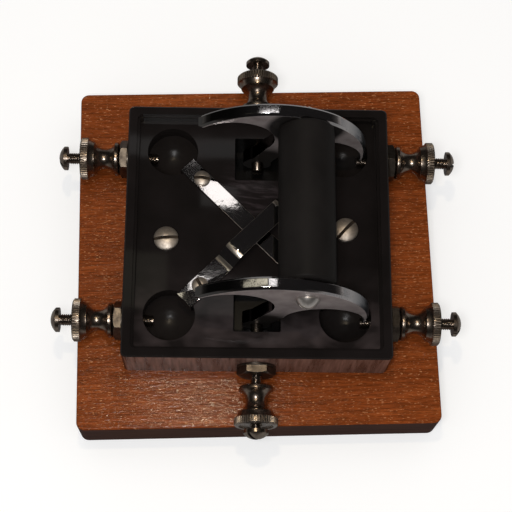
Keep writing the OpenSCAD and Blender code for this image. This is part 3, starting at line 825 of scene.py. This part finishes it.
def shade_slots(piece, heads, radius_mm):
    """Gives the near-black finish of painted shade to the faces of each head's slot."""
    piece.data.materials.append(slot_shade)
    count = 0
    for frame_mm in heads:
        back_to_head = frame_mm.inverted()
        for face in piece.data.polygons:
            places = [back_to_head @ (piece.data.vertices[i].co / MM) for i in face.vertices]
            if all(abs(v.y) < SLOT_HALF_WIDTH + SLOT_SLACK
                   and abs(v.x) < radius_mm + PAST_THE_RIM
                   and v.z > UNDER_THE_HEAD for v in places):
                face.material_index = 1
                count += 1
    print(piece.name, "slot faces", count)


# %% Screws with slots
HOLD_DOWN_HEADS = [
    Matrix.Translation((-32.65, -2.7, TRAY_FLOOR)) @ turn(5, "Z"),
    Matrix.Translation((31.75, 1.4, TRAY_FLOOR)) @ turn(47, "Z")]
hold_down = eased_copy("hold_down_screws", "tray_screws", screw_nickel, "base",
                       "screw_nickel", 0.15)
# The slots get painted shade.
shade_slots(hold_down, HOLD_DOWN_HEADS, HOLD_DOWN_RADIUS)

STRAP_THICKNESS = 0.9
STRAP_TOP = TRAY_FLOOR + STRAP_THICKNESS
STRAP_SCREW_REACH = 28.58
STRAP_SLOT_TURNS = (-15, 40, 74, 110)
strap_heads = [
    turn(45 + 90 * i, "Z") @ Matrix.Translation((STRAP_SCREW_REACH, 0, STRAP_TOP))
    @ turn(slot_turn, "Z") for i, slot_turn in enumerate(STRAP_SLOT_TURNS)]
strap_fixings = eased_copy("strap_screws", "strap_fixings", screw_nickel, "base",
                           "screw_nickel", 0.12)
# The slots get painted shade.
shade_slots(strap_fixings, strap_heads, STRAP_HEAD_RADIUS)

# %% Domed screws, hexagon nuts and washers
FRONT_FACE, BACK_FACE = 32.1, -34.5
ROCKER_FRAME = Matrix.Translation(PIVOT) @ turn(TILT_DEGREES, "Y") @ turn(90, "X")
DOME_HEADS = [
    ROCKER_FRAME @ Matrix.Translation((0, BAR_HEIGHT, FRONT_FACE)) @ turn(15, "Z"),
    ROCKER_FRAME @ Matrix.Translation((0, BAR_HEIGHT, BACK_FACE))
    @ turn(180, "X") @ turn(70, "Z")]
DOME_FULLNESS = 1.45
DOME_REACH = 5

domes = merged_copy("rocker_screws")
for vertex in domes.verts:
    for head in DOME_HEADS:
        local = head.inverted() @ (vertex.co / MM)
        if 0 < local.z < DOME_REACH:
            local.z *= DOME_FULLNESS
            vertex.co = (head @ local) * MM
domed = add_piece(domes, "domed_screws", dome_finish.material, "rocker", "arch_chrome",
                  "rocker_screws")
soften(domed, 0.45, segments=4, angle=20)

eased_copy("hexagon_nuts", "hexagons", nut_nickel, "base", "terminal_nickel", 0.2)
eased_copy("terminal_washers", "washers", nut_nickel, "base", "terminal_nickel", 0.12)

# %% [markdown]
# The studs and their threads
# A screw thread is one ridge wound round a core. The core is the stud's solid with
# its shank made thinner, and the head stays as it is. The thread is a short chain of
# points along the shank, spun once round it while every step also moves it on, so
# that the last column meets the first one a full pitch further. Its first and last
# points dip into the core, where the ridge runs out. The pivot studs have a smooth
# journal inside the block, where the arches rock on them. Lengths are measured from
# the block's face, so they are negative inside the block.

# %% Studs with thinner shanks
STUD_RADIUS = 2.1
CORE_RADIUS = 1.78
HEAD_START = 22.8
ON_THE_SHANK = 0.02
CUP_STUD_INNER = 36.8 - BLOCK_HALF
PIVOT_STUD_INNER = 26.4 - BLOCK_HALF

for side, (place, slot_turn) in TERMINALS.items():
    node = side + ("_pivot_stud" if side in ("front", "back") else "_stud")
    shape = merged_copy(node)
    back_to_stud = place.inverted()
    thinned = 0
    for vertex in shape.verts:
        local = back_to_stud @ (vertex.co / MM)
        reach = math.hypot(local.x, local.y)
        if abs(reach - STUD_RADIUS) < ON_THE_SHANK and local.z < HEAD_START + 0.05:
            local.x *= CORE_RADIUS / reach
            local.y *= CORE_RADIUS / reach
            vertex.co = (place @ local) * MM
            thinned += 1
    stud = add_piece(shape, side + "_screw", terminal_nickel, "base", "terminal_nickel", node)
    head = place @ Matrix.Translation((0, 0, HEAD_START)) @ turn(slot_turn, "Z")
    # The slot gets painted shade.
    shade_slots(stud, [head], STUD_HEAD_RADIUS)
    soften(stud, 0.2)
    print(side, "shank points thinned", thinned)

# %% Threads
PITCH = 0.7
RIDGE = (2.1, 1.99, 1.80, 1.80, 1.99)
ROOT = CORE_RADIUS - 0.04
THREAD_COLUMNS = 24
THREAD_END = HEAD_START + 0.3
PIVOT_THREAD_START = -3.0


def chain(shape, points):
    """A row of vertices joined by edges, in the XZ plane."""
    verts = [bmesh.ops.create_vert(shape, co=p)["vert"][0] for p in points]
    edges = [shape.edges.new(pair) for pair in zip(verts, verts[1:])]
    return verts + edges


def set_in_place(part, place, shape):
    """Scales a part in millimetres, moves it to its frame and adds it to a shape."""
    bmesh.ops.recalc_face_normals(part, faces=part.faces)
    bmesh.ops.transform(part, matrix=Matrix.Scale(MM, 4) @ place, verts=part.verts)
    placed = bpy.data.meshes.new("placed_part")
    part.to_mesh(placed)
    part.free()
    shape.from_mesh(placed)
    bpy.data.meshes.remove(placed)


def wind_thread(shape, place, start):
    """Adds the ridge of a thread from a place on the shank up to the head."""
    rows = int((THREAD_END - start - PITCH) / PITCH * len(RIDGE))
    radii = [ROOT] * 2 + [RIDGE[i % len(RIDGE)] for i in range(rows - 4)] + [ROOT] * 2
    points = [(r, 0, start + i * PITCH / len(RIDGE)) for i, r in enumerate(radii)]
    wound = bmesh.new()
    bmesh.ops.spin(wound, geom=chain(wound, points), cent=(0, 0, 0), axis=(0, 0, 1),
                   dvec=(0, 0, PITCH / THREAD_COLUMNS), angle=math.tau,
                   steps=THREAD_COLUMNS, use_merge=False)
    bmesh.ops.remove_doubles(wound, verts=wound.verts, dist=0.004)
    set_in_place(wound, place, shape)


def turn_journal(shape, place):
    """Adds the smooth inner end of a pivot stud."""
    journal = bmesh.new()
    section = [(0, 0, PIVOT_STUD_INNER - 0.01), (1.8, 0, PIVOT_STUD_INNER - 0.01),
               (STUD_RADIUS, 0, PIVOT_STUD_INNER + 0.3), (STUD_RADIUS, 0, -3.2), (1.7, 0, -2.8)]
    bmesh.ops.spin(journal, geom=chain(journal, section), cent=(0, 0, 0), axis=(0, 0, 1),
                   angle=math.tau, steps=48, use_merge=True)
    bmesh.ops.remove_doubles(journal, verts=journal.verts, dist=0.002)
    set_in_place(journal, place, shape)


threads = bmesh.new()
for side, (place, _) in TERMINALS.items():
    if side in ("front", "back"):
        wind_thread(threads, place, PIVOT_THREAD_START)
        turn_journal(threads, place)
    else:
        wind_thread(threads, place, CUP_STUD_INNER)
thread_piece = add_piece(threads, "screw_threads", terminal_nickel, "base", "terminal_nickel")
print("thread faces", len(thread_piece.data.polygons))

# %% [markdown]
# The thumb nuts
# Each nut was turned from bar: a collar, a waist with one long curve, a short flare
# and a flange. So its half section is drawn once as a chain of points and spun round
# the axis. The knurl on the flange has four columns of points to a tooth: two move
# inward and leave a ridge between. The rim of the flange is worn pale. Six nuts come
# from the same function, each on its own body, because each can be screwed in and
# out alone.

# %% Thumb nuts
NUT_START = 3.9
FRONT_NUT_OUT = 3.5
BORE_RADIUS = 2.15
WAIST_CENTRE = (7.55, 5.25)
WAIST_RADIUS = 4.05
WAIST_HALF_ANGLE = math.radians(69.8)
WAIST_STEPS = 18
RIDGE_RADIUS = 7.7
GROOVE_RADIUS = 7.4
TEETH = 48
COLUMNS_PER_TOOTH = 4
WORN_FROM = 7.42


def nut_section():
    """Radius and length of each point, from the bore at the block to the bore outside."""
    waist = []
    for i in range(WAIST_STEPS + 1):
        angle = math.pi + WAIST_HALF_ANGLE * (1 - 2 * i / WAIST_STEPS)
        waist.append((WAIST_CENTRE[0] + WAIST_RADIUS * math.cos(angle),
                      WAIST_CENTRE[1] + WAIST_RADIUS * math.sin(angle)))
    collar = [(2.4, 0), (5.55, 0), (5.86, 0.09), (6.06, 0.3), (6.15, 0.6), (6.15, 1.2)]
    flange = [(6.15, 9.3), (6.99, 10.9), (7.2, 10.98), (7.34, 11.2),
              (RIDGE_RADIUS, 11.38), (RIDGE_RADIUS, 13.62), (7.34, 13.8), (7.22, 14.02),
              (6.99, 14.1), (6.25, 14.1), (6.12, 14.02), (6.08, 13.6), (5.95, 13.5),
              (2.5, 13.5), (BORE_RADIUS, 13.25), (BORE_RADIUS, 0.25)]
    return collar + waist + flange


def turned_nut(place, out):
    nut = bmesh.new()
    outline = nut_section()
    section = chain(nut, [(r, 0, z) for r, z in outline])
    first, last = section[0], section[len(outline) - 1]
    section.append(nut.edges.new((last, first)))
    bmesh.ops.spin(nut, geom=section, cent=(0, 0, 0), axis=(0, 0, 1), angle=math.tau,
                   steps=TEETH * COLUMNS_PER_TOOTH, use_merge=True)
    bmesh.ops.remove_doubles(nut, verts=nut.verts, dist=0.002)
    for vertex in nut.verts:
        reach = math.hypot(vertex.co.x, vertex.co.y)
        turned = math.atan2(vertex.co.y, vertex.co.x) / math.tau
        column = round(turned * TEETH * COLUMNS_PER_TOOTH) % COLUMNS_PER_TOOTH
        if reach > RIDGE_RADIUS - 0.05 and column > 1:
            vertex.co.x *= GROOVE_RADIUS / reach
            vertex.co.y *= GROOVE_RADIUS / reach
    for face in nut.faces:
        if math.hypot(*face.calc_center_median()[:2]) > WORN_FROM:
            face.material_index = 1
    placed = bmesh.new()
    set_in_place(nut, place @ Matrix.Translation((0, 0, NUT_START + out)), placed)
    return placed


for side, (place, _) in TERMINALS.items():
    out = FRONT_NUT_OUT if side == "front" else 0
    nut = add_piece(turned_nut(place, out), side + "_knurled_nut", terminal_nickel, side + "_nut",
                    "terminal_nickel", side + "_thumb_nut")
    nut.data.materials.append(worn_nickel)
    nut.data.set_sharp_from_angle(angle=math.radians(32))
print("faces of a thumb nut", len(nut.data.polygons))
